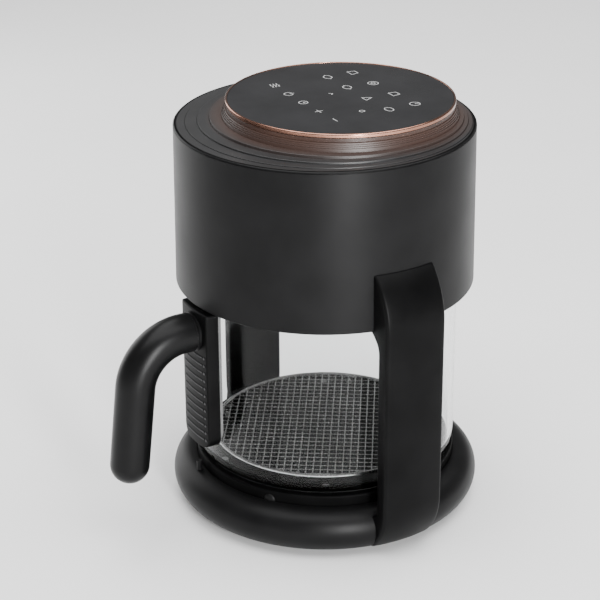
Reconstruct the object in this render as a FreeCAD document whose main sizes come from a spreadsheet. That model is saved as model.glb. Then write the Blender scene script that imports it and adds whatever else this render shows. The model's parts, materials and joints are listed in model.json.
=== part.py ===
import FreeCAD, Part
import math
import os

import Sketcher
from FreeCAD import Rotation, Vector

# Table-top air fryer with a pull-out glass jar. Millimetres, +Z up. The origin is the centre of
# the footprint on the table; the jar's handle points along -Y and the two columns stand at +X
# (near) and -X (far).

DIMENSIONS = {
    # drum head
    "head_radius": 120.0,
    "head_rim_radius": 118.7,
    "head_edge": 2.0,
    "head_bottom": 194.0,
    "head_top": 324.0,
    "wall": 2.5,
    "fit_gap": 0.3,
    # terraced top, its neck and the touch panel
    "panel_offset": 14.2,
    "slope_radius": 93.2,
    "slope_rise": 6.2,
    "neck_radius": 91.0,
    "neck_rise": 3.8,
    "panel_hole": 86.0,
    "bezel_radius": 90.4,
    "bezel_lip": 1.8,
    "bezel_rise": 6.6,
    "glass_thick": 2.8,
    "board_thick": 1.6,
    # base
    "foot_rise": 3.0,
    "bullnose_radius": 17.9,
    "bullnose_centre": 108.7,
    "bullnose_level": 20.6,
    "deck_radius": 107.3,
    "deck_level": 34.8,
    "seat_radius": 106.8,
    "seat_level": 47.0,
    "button_angle": 54.7,
    "button_radius": 5.0,
    "button_reach": 2.0,
    "button_level": 39.2,
    "foot_width": 9.0,
    "cover_screw_circle": 80.0,
    "ballast_radius": 70.0,
    "ballast_bore": 20.0,
    "ballast_thick": 4.0,
    # columns
    "column_root": 120.4,
    "column_inner": 126.0,
    "column_outer": 139.0,
    "column_width": 52.5,
    "column_low": 6.0,
    "column_low_bend": 47.0,
    "column_high_bend": 198.0,
    "column_high": 240.0,
    "column_skin": 3.0,
    "bar_width": 30.0,
    "bar_thick": 4.0,
    # glass jar
    "jar_radius": 106.6,
    "jar_wall": 4.0,
    "jar_floor": 5.0,
    "jar_bottom": 47.6,
    "jar_top": 191.0,
    "jar_corner": 8.0,
    # handle and bracket
    "bracket_face": 120.8,
    "bracket_width": 42.0,
    "bracket_low": 72.0,
    "bracket_high": 190.0,
    "bracket_corner": 10.0,
    "pad_thick": 3.5,
    "rib_rise": 1.0,
    "rib_height": 2.0,
    "rib_pitch": 6.6,
    "rib_half_width": 15.5,
    "magnet_radius": 4.0,
    "magnet_offset": 13.0,
    "grip_radius": 15.8,
    "grip_level": 170.0,
    "grip_bend": 42.0,
    "grip_stub_end": 130.0,
    "grip_lean": 6.6,
    "grip_end_level": 68.0,
    # rack
    "rack_radius": 93.0,
    "rack_wire": 1.5,
    "rack_level": 57.5,
    "mesh_wire": 0.5,
    "mesh_pitch": 5.8,
    "cross_pitch": 6.7,
    "rack_turn": 57.0,
    "rack_foot_radius": 2.2,
    # hot-air chamber, motor and fans
    "shield_radius": 86.0,
    "shield_top": 240.0,
    "shield_thick": 1.0,
    "heater_tube": 3.25,
    "heater_level": 208.0,
    "shaft_radius": 3.0,
    "running_gap": 0.05,
    "plate_level": 254.0,
    "plate_thick": 2.0,
    "motor_radius": 33.0,
    "motor_top": 290.0,
    "motor_screw_circle": 39.0,
    "plate_radius": 108.0,
    "hot_fan_radius": 58.0,
    "cooling_fan_radius": 40.0,
    "guard_wire": 0.9,
    # screws, vents and seal of the drum
    "floor_screw_circle": 107.5,
    "vent_half_width": 23.0,
    "vent_pitch": 7.0,
    "vent_height": 3.0,
    "seal_rise": 2.4,
    # cord gland
    "gland_bore": 3.6,
    "gland_barrel": 7.0,
    "gland_level": 212.0,
}

doc = FreeCAD.newDocument("glass_jar_air_fryer")
sheet = doc.addObject("Spreadsheet::Sheet", "Dims")
for row, (alias, size) in enumerate(DIMENSIONS.items(), start=1):
    sheet.set("A%d" % row, alias.replace("_", " "))
    sheet.set("B%d" % row, str(size))
    sheet.setAlias("B%d" % row, alias)
doc.recompute()

sub_parts = []


def number(formula):
    """Value of a formula of aliases, numbers, brackets and the four operations."""
    return total(formula.replace("(", " ( ").replace(")", " ) ").split())


def total(tokens):
    value = product(tokens)
    while tokens and tokens[0] in ("+", "-"):
        sign = 1.0 if tokens.pop(0) == "+" else -1.0
        value += sign * product(tokens)
    return value


def product(tokens):
    value = factor(tokens)
    while tokens and tokens[0] in ("*", "/"):
        divide = tokens.pop(0) == "/"
        other = factor(tokens)
        value = value / other if divide else value * other
    return value


def factor(tokens):
    token = tokens.pop(0)
    if token == "(":
        value = total(tokens)
        tokens.pop(0)
        return value
    return DIMENSIONS[token] if token in DIMENSIONS else float(token)


def bound(formula):
    """The same formula in the form that the document's expressions read."""
    words = formula.replace("(", " ( ").replace(")", " ) ").split()
    return " ".join("Dims." + word if word in DIMENSIONS else word for word in words)


def between(low, high):
    """The distance from one formula up to another."""
    return "(%s) - (%s)" % (high, low)


def amount(value):
    """A worked-out number as a formula, with its sign kept outside."""
    return "(0 %s %.6f)" % ("-" if value < 0 else "+", abs(value))


def drive(thing, **formulas):
    """Binds properties of an object to formulas of the spreadsheet's cells."""
    for name, formula in formulas.items():
        thing.setExpression(name, bound(formula))
    return thing


def place(thing, x="0", y="0", z="0", rotation=None):
    """Puts an object at a point given by three formulas, turned first if asked."""
    if rotation is not None:
        thing.Placement = FreeCAD.Placement(Vector(), rotation)
    for axis, formula in (("x", x), ("y", y), ("z", z)):
        thing.setExpression("Placement.Base." + axis, bound(formula))
    return thing


def keep(thing, label):
    """Marks a finished object as a sub-part; its label names its node."""
    thing.Label = label
    sub_parts.append(thing)
    return thing


# ---- primitives and booleans ------------------------------------------------------------------

def cylinder(radius, low, high, x="0", y="0"):
    piece = doc.addObject("Part::Cylinder", "Cylinder")
    drive(piece, Radius=radius, Height=between(low, high))
    return place(piece, x, y, low)


def box(x0, x1, y0, y1, z0, z1):
    piece = doc.addObject("Part::Box", "Box")
    drive(piece, Length=between(x0, x1), Width=between(y0, y1), Height=between(z0, z1))
    return place(piece, x0, y0, z0)


def rod(radius, length, x, y, z, rotation):
    """A cylinder that starts at a point and runs along a turned axis."""
    piece = doc.addObject("Part::Cylinder", "Rod")
    drive(piece, Radius=radius, Height=length)
    return place(piece, x, y, z, rotation)


def torus(ring, tube, level):
    piece = doc.addObject("Part::Torus", "Torus")
    drive(piece, Radius1=ring, Radius2=tube)
    return place(piece, "0", "0", level)


def cut(base, tool):
    piece = doc.addObject("Part::Cut", "Cut")
    piece.Base = base
    piece.Tool = tool
    return piece


def common(base, tool):
    piece = doc.addObject("Part::Common", "Common")
    piece.Base = base
    piece.Tool = tool
    return piece


def fuse(pieces):
    piece = doc.addObject("Part::MultiFuse", "Fuse")
    piece.Shapes = pieces
    return piece


def group(pieces):
    """Several separate solids in one node, for identical fasteners and feet."""
    piece = doc.addObject("Part::Compound", "Group")
    piece.Links = pieces
    return piece


def ring(outer, inner, low, high, x="0", y="0"):
    return cut(cylinder(outer, low, high, x, y), cylinder(inner, low, high, x, y))


def circle_points(count, radius, first=0.0):
    """Points evenly spaced on a circle about the Z axis, as formulas."""
    points = []
    for index in range(count):
        angle = math.radians(first + 360.0 * index / count)
        points.append(tuple("(%s) * %s" % (radius, amount(part))
                            for part in (math.cos(angle), math.sin(angle))))
    return points


# ---- sketches and bodies ----------------------------------------------------------------------

def new_body(label):
    body = doc.addObject("PartDesign::Body", label)
    body.Label = label
    return body


def attach(sketch, body, role):
    for feature in body.Origin.OriginFeatures:
        if feature.Role == role:
            sketch.AttachmentSupport = (feature, [""])
    sketch.MapMode = "FlatFace"


def pin(sketch, geometry, corner, point):
    """Holds one point of a sketch at two formulas measured from the sketch's origin."""
    for kind, formula, axis in (("DistanceX", point[0], -2), ("DistanceY", point[1], -1)):
        if abs(number(formula)) < 1e-9:
            sketch.addConstraint(Sketcher.Constraint("PointOnObject", geometry, corner, axis))
        else:
            rule = Sketcher.Constraint(kind, -1, 1, geometry, corner, number(formula))
            index = sketch.addConstraint(rule)
            sketch.setExpression("Constraints[%d]" % index, bound(formula))


def arc_between(start, end, radius, bulge_left):
    """The shorter arc of a radius between two points, on one side of the chord."""
    middle = (start + end) * 0.5
    half = (end - start).Length / 2.0
    chord = (end - start).normalize()
    left = Vector(-chord.y, chord.x, 0)
    side = 1.0 if bulge_left else -1.0
    depth = math.sqrt(max(radius * radius - half * half, 0.0))
    centre = middle - left * side * depth
    first = math.atan2(start.y - centre.y, start.x - centre.x)
    last = math.atan2(end.y - centre.y, end.x - centre.x)
    circle = Part.Circle(centre, Vector(0, 0, 1), radius)
    if bulge_left:
        return Part.ArcOfCircle(circle, last, first), 2, 1
    return Part.ArcOfCircle(circle, first, last), 1, 2


def outline(body, role, corners):
    """A sketch of corners (x, y); a third and fourth entry bend the edge that leaves a corner."""
    sketch = body.newObject("Sketcher::SketchObject", "Outline")
    attach(sketch, body, role)
    points = [Vector(number(corner[0]), number(corner[1]), 0) for corner in corners]
    edges = []
    for index, start in enumerate(points):
        end = points[(index + 1) % len(points)]
        if len(corners[index]) > 2:
            radius = number(corners[index][2])
            arc, first_end, second_end = arc_between(start, end, radius, corners[index][3] == "left")
            geometry = sketch.addGeometry(arc, False)
            rule = sketch.addConstraint(Sketcher.Constraint("Radius", geometry, radius))
            sketch.setExpression("Constraints[%d]" % rule, bound(corners[index][2]))
        else:
            geometry = sketch.addGeometry(Part.LineSegment(start, end), False)
            first_end = 1
            second_end = 2
        edges.append((geometry, first_end, second_end))
    for index, (geometry, first_end, second_end) in enumerate(edges):
        pin(sketch, geometry, first_end, corners[index])
        following = edges[(index + 1) % len(edges)]
        rule = Sketcher.Constraint("Coincident", geometry, second_end, following[0], following[1])
        sketch.addConstraint(rule)
    return sketch


def revolve(label, corners, angle=360.0):
    """A profile of (radius, height) corners turned about the Z axis, centred on the +X side."""
    body = new_body(label)
    sketch = outline(body, "XZ_Plane", corners)
    turn = body.newObject("PartDesign::Revolution", "Turn")
    turn.Profile = sketch
    turn.ReferenceAxis = (sketch, ["V_Axis"])
    turn.Angle = angle
    turn.Midplane = True
    body.Tip = turn
    return body


def pad(label, role, corners, length):
    body = new_body(label)
    sketch = outline(body, role, corners)
    feature = body.newObject("PartDesign::Pad", "Pad")
    feature.Profile = sketch
    drive(feature, Length=length)
    body.Tip = feature
    return body


def screws(label, points, head, shank, low, high, head_rise):
    """A group of screws that point up: a head below a shank, at points of a plan."""
    pieces = []
    for x, y in points:
        shaft = cylinder(shank, low, high, x, y)
        cap = cylinder(head, between(head_rise, low), low, x, y)
        pieces.append(fuse([cap, shaft]))
    return keep(group(pieces), label)


# ---- base -------------------------------------------------------------------------------------

def make_base():
    keep(ring("bullnose_centre", "bullnose_centre - foot_width", "0", "foot_rise"), "foot_ring")
    cover_screw_points = circle_points(6, "cover_screw_circle")
    cover = cylinder("deck_radius + 4", "foot_rise", "foot_rise + wall")
    holes = fuse([cylinder("2.2", "foot_rise", "foot_rise + wall", x, y) for x, y in cover_screw_points])
    keep(cut(cover, holes), "base_cover")

    inner = "bullnose_radius - wall"
    edge = number("bullnose_centre - deck_radius - wall")
    roof = math.sqrt(number(inner) ** 2 - edge ** 2)
    slant = math.radians(65.0)
    foot_span = math.sqrt(number("bullnose_radius") ** 2 - number("bullnose_level - foot_rise") ** 2)
    rise_end = math.sqrt(number("bullnose_radius") ** 2 - number("bullnose_centre - deck_radius") ** 2)
    outer_side = ("bullnose_centre + bullnose_radius", "bullnose_level")
    inner_side = ("bullnose_centre + " + inner, "bullnose_level")
    shell = revolve("base_shell", [
        ("bullnose_centre + %.6f" % foot_span, "foot_rise", "bullnose_radius", "right"),
        (outer_side[0], outer_side[1], "bullnose_radius", "right"),
        ("deck_radius", "bullnose_level + %.6f" % rise_end),
        ("deck_radius", "deck_level"),
        ("0", "deck_level"),
        ("0", "deck_level - wall"),
        ("deck_radius + wall", "deck_level - wall"),
        ("deck_radius + wall", "bullnose_level + %.6f" % roof, inner, "left"),
        (inner_side[0], inner_side[1], inner, "left"),
        ("bullnose_centre + %.6f" % (number(inner) * math.cos(slant)),
         "bullnose_level - %.6f" % (number(inner) * math.sin(slant))),
    ])
    keep(shell, "base_shell")

    seat = revolve("seat_body", [
        ("0", "deck_level"), ("seat_radius - wall", "deck_level"),
        ("seat_radius", "deck_level + wall"), ("seat_radius", "seat_level - 1.5", "1.5", "right"),
        ("seat_radius - 1.5", "seat_level"), ("0", "seat_level"),
        ("0", "seat_level - wall"), ("seat_radius - wall - 2", "seat_level - wall"),
        ("seat_radius - wall - 2", "deck_level + wall"), ("0", "deck_level + wall"),
    ])
    button_turn = Rotation(Vector(0, 0, 1), -number("button_angle"))
    start = button_turn.multVec(Vector(number("seat_radius - wall"), 0, 0))
    boss = rod("button_radius", "button_reach + wall", amount(start.x), amount(start.y), "button_level",
               button_turn * Rotation(Vector(0, 1, 0), 90))
    clear = ring("seat_radius + 5", "seat_radius - 1", "bullnose_level + bullnose_radius + 0.1",
                 "seat_level")
    keep(fuse([seat, common(boss, clear)]), "jar_seat")
    pads = [cylinder("3", "seat_level", "seat_level + 0.4", x, y) for x, y in circle_points(6, "94", 30.0)]
    keep(group(pads), "seat_pads")
    peg_y = "0 - seat_radius - 5"
    keep(cylinder("2.4", "bullnose_level + bullnose_radius", "seat_level - 0.2", "0 - 12", peg_y),
         "locating_peg")

    keep(ring("ballast_radius", "ballast_bore", "foot_rise + wall", "foot_rise + wall + ballast_thick"),
         "ballast_plate")
    screws("base_screws", cover_screw_points, "2.2", "1.5", "foot_rise + wall", "deck_level - wall", "1.8")


# ---- columns ----------------------------------------------------------------------------------

def column_outline(inset):
    """Side profile of a column, drawn in by a distance from its outer face."""
    fall = number("column_low_bend - column_low")
    depth = number("column_outer - column_root")
    low_radius = (fall ** 2 + depth ** 2) / (2.0 * depth)
    climb = number("column_high - column_high_bend")
    high_radius = (climb ** 2 + depth ** 2) / (2.0 * depth)
    low_side = low_radius - depth
    high_side = high_radius - depth
    low_end = math.sqrt((low_radius - inset) ** 2 - low_side ** 2)
    high_end = math.sqrt((high_radius - inset) ** 2 - high_side ** 2)
    outer = "column_outer - %.3f" % inset
    return [
        ("column_root", "column_low_bend - %.6f" % low_end, "%.6f" % (low_radius - inset), "right"),
        (outer, "column_low_bend"),
        (outer, "column_high_bend", "%.6f" % (high_radius - inset), "right"),
        ("column_root", "column_high_bend + %.6f" % high_end),
        ("column_root", "head_bottom"),
        ("column_inner", "head_bottom - 10"),
        ("column_inner", "bullnose_level + 2"),
    ]


def make_column(side, turn):
    """One column: an outer cover, its liner towards the jar, and the steel bar between them."""
    body = revolve("column_%s_body" % side, column_outline(0.0), angle=40.0)
    slab = box("0", "column_outer + 5", "0 - column_width / 2", "column_width / 2",
               "0", "column_high + 5")
    hollow = revolve("column_%s_hollow" % side, column_outline(DIMENSIONS["column_skin"]), angle=40.0)
    room = box("0", "column_outer + 5", "0 - column_width / 2 + wall", "column_width / 2 - wall",
               "0", "column_high + 5")
    collar = torus("bullnose_centre", "bullnose_radius + fit_gap", "bullnose_level")
    cover = cut(cut(common(body, slab), common(hollow, room)), collar)
    keep(cover, "column_cover_" + side)

    plate = revolve("column_%s_plate" % side, [
        ("column_inner + 0.1", "bullnose_level + 12"), ("column_inner + 2.3", "bullnose_level + 12"),
        ("column_inner + 2.3", "head_bottom - 11"), ("column_inner + 0.1", "head_bottom - 11"),
    ], angle=40.0)
    strip = box("0", "column_outer", "0 - column_width / 2 + wall + 0.2",
                "column_width / 2 - wall - 0.2", "0", "column_high")
    keep(common(plate, strip), "column_liner_" + side)

    bar = box("column_inner + 5", "column_inner + 5 + bar_thick", "0 - bar_width / 2", "bar_width / 2",
              "column_low_bend + 2", "column_high_bend - 2")
    keep(group([bar]), "column_bar_" + side)
    # the three pieces are made at +X and turned about Z to their side
    for piece in sub_parts[-3:]:
        piece.Placement = FreeCAD.Placement(Vector(), Rotation(Vector(0, 0, 1), turn))


def make_column_screws():
    pieces = []
    for side, turn in (("near", 0.0), ("far", 180.0)):
        flip = 1.0 if turn == 0.0 else -1.0
        for level in ("bullnose_level + 24", "head_bottom - 64", "head_bottom - 20"):
            axis = Rotation(Vector(0, 1, 0), 90.0 * flip)
            start = "(column_inner + 2.4) * %s" % amount(flip)
            pieces.append(rod("2", "2.5", start, "0", level, axis))
    keep(group(pieces), "column_screws")


# ---- drum head --------------------------------------------------------------------------------

VENT_LEVELS = ["head_bottom + 62 + vent_pitch * %d" % step for step in range(6)]


def make_head():
    shell = revolve("head_drum", [
        ("head_radius", "head_bottom"), ("head_rim_radius", "head_top - head_edge", "head_edge", "right"),
        ("head_rim_radius - head_edge", "head_top"), ("head_rim_radius - head_edge - 0.7", "head_top"),
        ("head_rim_radius - head_edge - 0.7", "head_bottom + wall"),
        ("head_radius - wall - 1.5", "head_bottom"),
    ])
    slots = [box("0 - vent_half_width", "vent_half_width", "head_radius - 10", "head_radius + 5",
                 level, level + " + vent_height") for level in VENT_LEVELS]
    gland_hole = rod("gland_barrel", "20", "0", "head_radius - 14", "gland_level",
                     Rotation(Vector(1, 0, 0), -90))
    keep(cut(shell, fuse(slots + [gland_hole])), "head_shell")

    floor_points = circle_points(6, "floor_screw_circle")
    holes = fuse([cylinder("2", "head_bottom", "head_bottom + wall", x, y) for x, y in floor_points])
    floor = ring("head_radius - wall - 2", "shield_radius - 3", "head_bottom", "head_bottom + wall")
    keep(cut(floor, holes), "head_floor")
    screws("floor_screws", floor_points, "3.4", "1.6", "head_bottom", "head_bottom + 12", "1.6")
    keep(ring("jar_radius - 6", "jar_radius - 11", "head_bottom - seal_rise", "head_bottom"), "jar_seal")

    slats = [box("0 - 24", "24", "head_radius - 8.5", "head_radius - 7", level + " + 4", level + " + 6")
             for level in ["head_bottom + 55"] + VENT_LEVELS]
    posts = [box(x, x + " + 2", "head_radius - 10.5", "head_radius - 8.5", "head_bottom + 59",
                 "head_bottom + 103") for x in ("0 - 24", "0 - 1", "22")]
    keep(fuse(slats + posts), "rear_grille")

    barrel = rod("gland_barrel - 0.1", "16", "0", "head_radius - 13", "gland_level",
                 Rotation(Vector(1, 0, 0), -90))
    flange = rod("gland_barrel + 3", "2.5", "0", "head_radius + 0.5", "gland_level",
                 Rotation(Vector(1, 0, 0), -90))
    bore = rod("gland_bore", "30", "0", "head_radius - 20", "gland_level",
               Rotation(Vector(1, 0, 0), -90))
    keep(cut(fuse([barrel, flange]), bore), "cord_gland")


def terrace_rings():
    """Radius, offset and height of each step: four on the slope, then three up the neck."""
    steps = []
    for index in range(1, 5):
        part = index / 4.0
        steps.append((
            "head_rim_radius - head_rim_radius * %.4f + slope_radius * %.4f" % (part, part),
            "panel_offset * %.4f" % part,
            "head_top + slope_rise * %.4f" % part ** 2,
        ))
    for index in range(1, 4):
        part = index / 3.0
        steps.append((
            "slope_radius - slope_radius * %.4f + neck_radius * %.4f" % (part, part),
            "panel_offset",
            "head_top + slope_rise + neck_rise * %.4f" % part,
        ))
    return steps


def make_top():
    base = cylinder("head_rim_radius - head_edge - 0.8", "head_top - 4", "head_top - 0.1")
    steps = [cylinder(radius, "head_top - 4", level, "0", offset)
             for radius, offset, level in terrace_rings()]
    rim_room = cylinder("head_rim_radius - head_edge - 5", "head_top - 4", "head_top - wall")
    neck_room = cylinder("slope_radius - 3", "head_top - 4", "head_top + slope_rise - wall",
                         "0", "panel_offset")
    hole = cylinder("panel_hole", "head_top - 4", "head_top + 20", "0", "panel_offset")
    keep(cut(fuse([base] + steps), fuse([rim_room, neck_room, hole])), "top_cover")

    low = "head_top + slope_rise + neck_rise"
    high = low + " + bezel_rise + 0.1"
    bezel = ring("bezel_radius", "bezel_radius - bezel_lip", low, high, "0", "panel_offset")
    keep(bezel, "bezel_ring")
    glass_top = high + " - 0.4"
    keep(cylinder("bezel_radius - bezel_lip - 0.1", glass_top + " - glass_thick", glass_top,
                  "0", "panel_offset"), "touch_glass")
    carrier = ring("panel_hole - 0.3", "panel_hole - 6", low + " - 6", glass_top + " - glass_thick",
                   "0", "panel_offset")
    keep(carrier, "touch_carrier")
    board_low = low + " - 6 - board_thick"
    keep(cylinder("panel_hole - 2", board_low, low + " - 6", "0", "panel_offset"), "control_board")
    springs = [cylinder("3.5", low + " - 6", glass_top + " - glass_thick", x, "panel_offset + " + y)
               for x, y in circle_points(8, "42")]
    keep(group(springs), "key_springs")


# ---- hot-air chamber --------------------------------------------------------------------------

def make_chamber():
    lip = "head_bottom + wall"
    shield = revolve("heat_shield", [
        ("shield_radius - 3", lip), ("shield_radius + 10", lip), ("shield_radius + 10", lip + " + 1"),
        ("shield_radius", lip + " + 1"), ("shield_radius - 2", "shield_top - 10", "10", "right"),
        ("shield_radius - 12", "shield_top"), ("7", "shield_top"), ("7", "shield_top - shield_thick"),
        ("shield_radius - 12", "shield_top - shield_thick", "9", "left"),
        ("shield_radius - 3", "shield_top - 10"),
    ])
    keep(shield, "heat_shield")
    guard_rings = [torus(radius, "guard_wire", "head_bottom + 4.5") for radius in ("20", "38", "56", "74")]
    bars = [rod("guard_wire", "156", amount(-78.0 * math.cos(math.radians(turn))),
                amount(-78.0 * math.sin(math.radians(turn))), "head_bottom + 4.5",
                Rotation(Vector(0, 0, 1), turn) * Rotation(Vector(0, 1, 0), 90))
            for turn in (15.0, 105.0)]
    keep(fuse(guard_rings + bars), "guard_grille")

    coils = [torus(radius, "heater_tube", "heater_level") for radius in ("70", "56")]
    bridge = rod("heater_tube - 0.4", "14", "56", "0", "heater_level", Rotation(Vector(0, 1, 0), 90))
    keep(fuse(coils + [bridge]), "heating_element")

    wool = ring("plate_radius", "12", "shield_top + 0.5", "plate_level - 2")
    keep(wool, "heat_insulation")
    plate = ring("plate_radius", "10", "plate_level", "plate_level + plate_thick")
    bolt_holes = fuse([cylinder("1.8", "plate_level", "plate_level + plate_thick", x, y)
                       for x, y in circle_points(3, "motor_screw_circle", 90.0)])
    keep(cut(plate, bolt_holes), "motor_plate")
    keep(cylinder("2.5", "head_bottom + 6.5", "head_bottom + 10", "0", "78.5"), "air_sensor")
    keep(box("60", "78", "60", "68", "plate_level + plate_thick", "plate_level + 9"), "thermal_cutout")
    keep(box("0 - 9", "9", "0 - 112", "0 - 107.5", "head_bottom + wall", "head_bottom + 8"), "reed_switch")


def make_motor():
    floor = "plate_level + plate_thick"
    case = ring("motor_radius", "motor_radius - 1.5", floor, "motor_top")
    lid = ring("motor_radius - 1.5", "8", "motor_top - 2", "motor_top")
    lower = ring("motor_radius - 1.5", "8", floor, floor + " + 2")
    keep(fuse([case, lid, lower]), "motor_case")
    keep(ring("motor_radius - 1.6", "19.5", floor + " + 4", "motor_top - 6"), "motor_stator")
    inner = "shaft_radius + running_gap"
    bearings = [ring("7.9", inner, floor, floor + " + 4"), ring("7.9", inner, "motor_top - 4", "motor_top")]
    keep(group(bearings), "motor_bearings")
    screws("motor_screws", circle_points(3, "motor_screw_circle", 90.0), "3", "1.6", "plate_level",
           "plate_level + 8", "1.8")

    keep(cylinder("shaft_radius", "head_bottom + 18", "motor_top + 16"), "motor_shaft")
    keep(ring("18.8", "shaft_radius", floor + " + 5", "motor_top - 7"), "motor_armature")
    keep(fan("hot", "hot_fan_radius", "head_bottom + 24", "16", 8), "hot_fan")
    keep(fan("cool", "cooling_fan_radius", "motor_top + 4", "9", 9), "cooling_fan")
    keep(ring("6", "shaft_radius", "head_bottom + 19", "head_bottom + 23.5"), "fan_nut")


def fan(name, radius, low, rise, blades):
    """A hub on the shaft, a thin back disc and straight radial blades under it."""
    high = low + " + " + rise
    hub = ring("9", "shaft_radius", low, high)
    disc = ring(radius, "9", high + " - 1.2", high)
    vanes = []
    for index in range(blades):
        blade = doc.addObject("Part::Box", name + "Blade")
        drive(blade, Length=radius + " - 12", Width="1.4", Height=rise + " - 1.2")
        turn = Rotation(Vector(0, 0, 1), 360.0 * index / blades)
        start = turn.multVec(Vector(8.5, -0.7, 0))
        vanes.append(place(blade, amount(start.x), amount(start.y), low, turn))
    return fuse([hub, disc] + vanes)


def make_electronics():
    deck = "plate_level + plate_thick"
    keep(box("0 - 55", "55", "46", "92", deck + " + 6", deck + " + 6 + board_thick"), "power_board")
    top = deck + " + 6 + board_thick"
    blocks = [
        box("0 - 50", "0 - 28", "50", "70", top, top + " + 20"),
        box("0 - 20", "0 - 4", "52", "66", top, top + " + 16"),
        cylinder("6", top, top + " + 22", "12", "60"),
        cylinder("4.5", top, top + " + 14", "30", "58"),
        box("22", "48", "72", "86", top, top + " + 12"),
    ]
    keep(group(blocks), "power_parts")
    keep(box("0 - 16", "16", "94", "104", deck, deck + " + 14"), "terminal_block")
    posts = [cylinder("3", deck, deck + " + 6", x, y)
             for x in ("0 - 50", "50") for y in ("50", "88")]
    keep(group(posts), "board_posts")


# ---- glass jar, bracket and handle -----------------------------------------------------------

def make_jar():
    jar = revolve("glass_jar", [
        ("0", "jar_bottom"), ("jar_radius - jar_corner", "jar_bottom", "jar_corner", "right"),
        ("jar_radius", "jar_bottom + jar_corner"), ("jar_radius", "jar_top"),
        ("jar_radius - jar_wall", "jar_top"),
        ("jar_radius - jar_wall", "jar_bottom + jar_corner + 1", "jar_corner - jar_wall", "left"),
        ("jar_radius - jar_corner", "jar_bottom + jar_floor"), ("0", "jar_bottom + jar_floor"),
    ])
    keep(jar, "glass_jar")


def bracket_blank(label, half, low, high, corner, depth):
    """A plate with rounded lower corners, standing on the XZ plane towards -Y."""
    left = "0 - (%s)" % half
    flat_left = "0 - (%s - %s)" % (half, corner)
    flat_right = "%s - %s" % (half, corner)
    bend = "%s + %s" % (low, corner)
    return pad(label, "XZ_Plane", [
        (flat_left, low), (flat_right, low, corner, "right"), (half, bend),
        (half, high), (left, high), (left, bend, corner, "right"),
    ], depth)


def make_bracket():
    plate = bracket_blank("bracket_plate", "bracket_width / 2", "bracket_low", "bracket_high",
                          "bracket_corner", "bracket_face + 5")
    skin = cylinder("bracket_face", "bracket_low - 5", "bracket_high + 5")
    core = cylinder("jar_radius + pad_thick + fit_gap", "bracket_low - 5", "bracket_high + 5")
    bolt_hole = rod("3.2", "40", "0", "0 - bracket_face - 10", "grip_level",
                    Rotation(Vector(1, 0, 0), -90))
    blank = cut(cut(common(plate, skin), core), bolt_hole)
    magnet_room = cylinder("magnet_radius + 0.1", "bracket_high - 4", "bracket_high",
                           "magnet_offset", "0 - bracket_face + 6.2")
    ribs = []
    for index in range(12):
        low = "bracket_low + 7 + rib_pitch * %d" % index
        rib_ring = ring("bracket_face + rib_rise", "bracket_face - 0.5", low, low + " + rib_height")
        ribs.append(rib_ring)
    rib_zone = box("0 - rib_half_width", "rib_half_width", "0 - bracket_face - 6", "0 - 90",
                   "bracket_low", "bracket_high")
    rib_band = common(fuse(ribs), rib_zone)
    keep(cut(fuse([blank, rib_band]), magnet_room), "handle_bracket")
    keep(cylinder("magnet_radius", "bracket_high - 4", "bracket_high - 0.5",
                  "magnet_offset", "0 - bracket_face + 6.2"), "sensor_magnet")

    liner = bracket_blank("bracket_liner", "bracket_width / 2 - 2", "bracket_low + 3",
                          "bracket_high - 3", "bracket_corner", "bracket_face + 5")
    shell = ring("jar_radius + pad_thick + fit_gap", "jar_radius + fit_gap", "bracket_low",
                 "bracket_high")
    keep(common(liner, shell), "bracket_pad")


def make_handle():
    """A round tube: a stub out of the bracket, one wide bend and a leg that leans outwards."""
    lean = math.radians(DIMENSIONS["grip_lean"])
    down = Vector(0, -math.sin(lean), -math.cos(lean))
    outward = Vector(0, -math.cos(lean), math.sin(lean))
    bend_end_y = number("grip_stub_end") + number("grip_bend") * math.cos(lean)
    bend_end_z = number("grip_level - grip_bend") + number("grip_bend") * math.sin(lean)
    leg = (bend_end_z - number("grip_end_level")) / math.cos(lean)
    stub = rod("grip_radius", "grip_stub_end - bracket_face + 3", "0", "0 - grip_stub_end",
               "grip_level", Rotation(Vector(1, 0, 0), -90))
    elbow = doc.addObject("Part::Torus", "Elbow")
    drive(elbow, Radius1="grip_bend", Radius2="grip_radius", Angle3="90 - grip_lean")
    turn = Rotation(outward, Vector(0, math.sin(lean), math.cos(lean)), Vector(-1, 0, 0), "XYZ")
    place(elbow, "0", "0 - grip_stub_end", "grip_level - grip_bend", turn)
    leg_turn = Rotation(Vector(0, 0, 1), down)
    limb = rod("grip_radius", amount(leg), "0", amount(-bend_end_y), amount(bend_end_z), leg_turn)
    ball = doc.addObject("Part::Sphere", "Ball")
    drive(ball, Radius="grip_radius")
    place(ball, "0", amount(-bend_end_y + leg * down.y), "grip_end_level")
    face = cylinder("bracket_face + 0.02", "grip_level - 30", "grip_level + 30")
    insert_room = rod("5", "16", "0", "0 - bracket_face - 15", "grip_level",
                      Rotation(Vector(1, 0, 0), -90))
    keep(cut(cut(fuse([stub, elbow, limb, ball]), face), insert_room), "handle_grip")
    insert = cut(rod("5", "12", "0", "0 - bracket_face - 14", "grip_level",
                     Rotation(Vector(1, 0, 0), -90)),
                 rod("3", "12", "0", "0 - bracket_face - 14", "grip_level",
                     Rotation(Vector(1, 0, 0), -90)))
    keep(insert, "handle_insert")
    shank = rod("3", "22.5", "0", "0 - bracket_face - 13", "grip_level", Rotation(Vector(1, 0, 0), -90))
    keep(shank, "handle_bolt")


# ---- rack -------------------------------------------------------------------------------------

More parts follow.
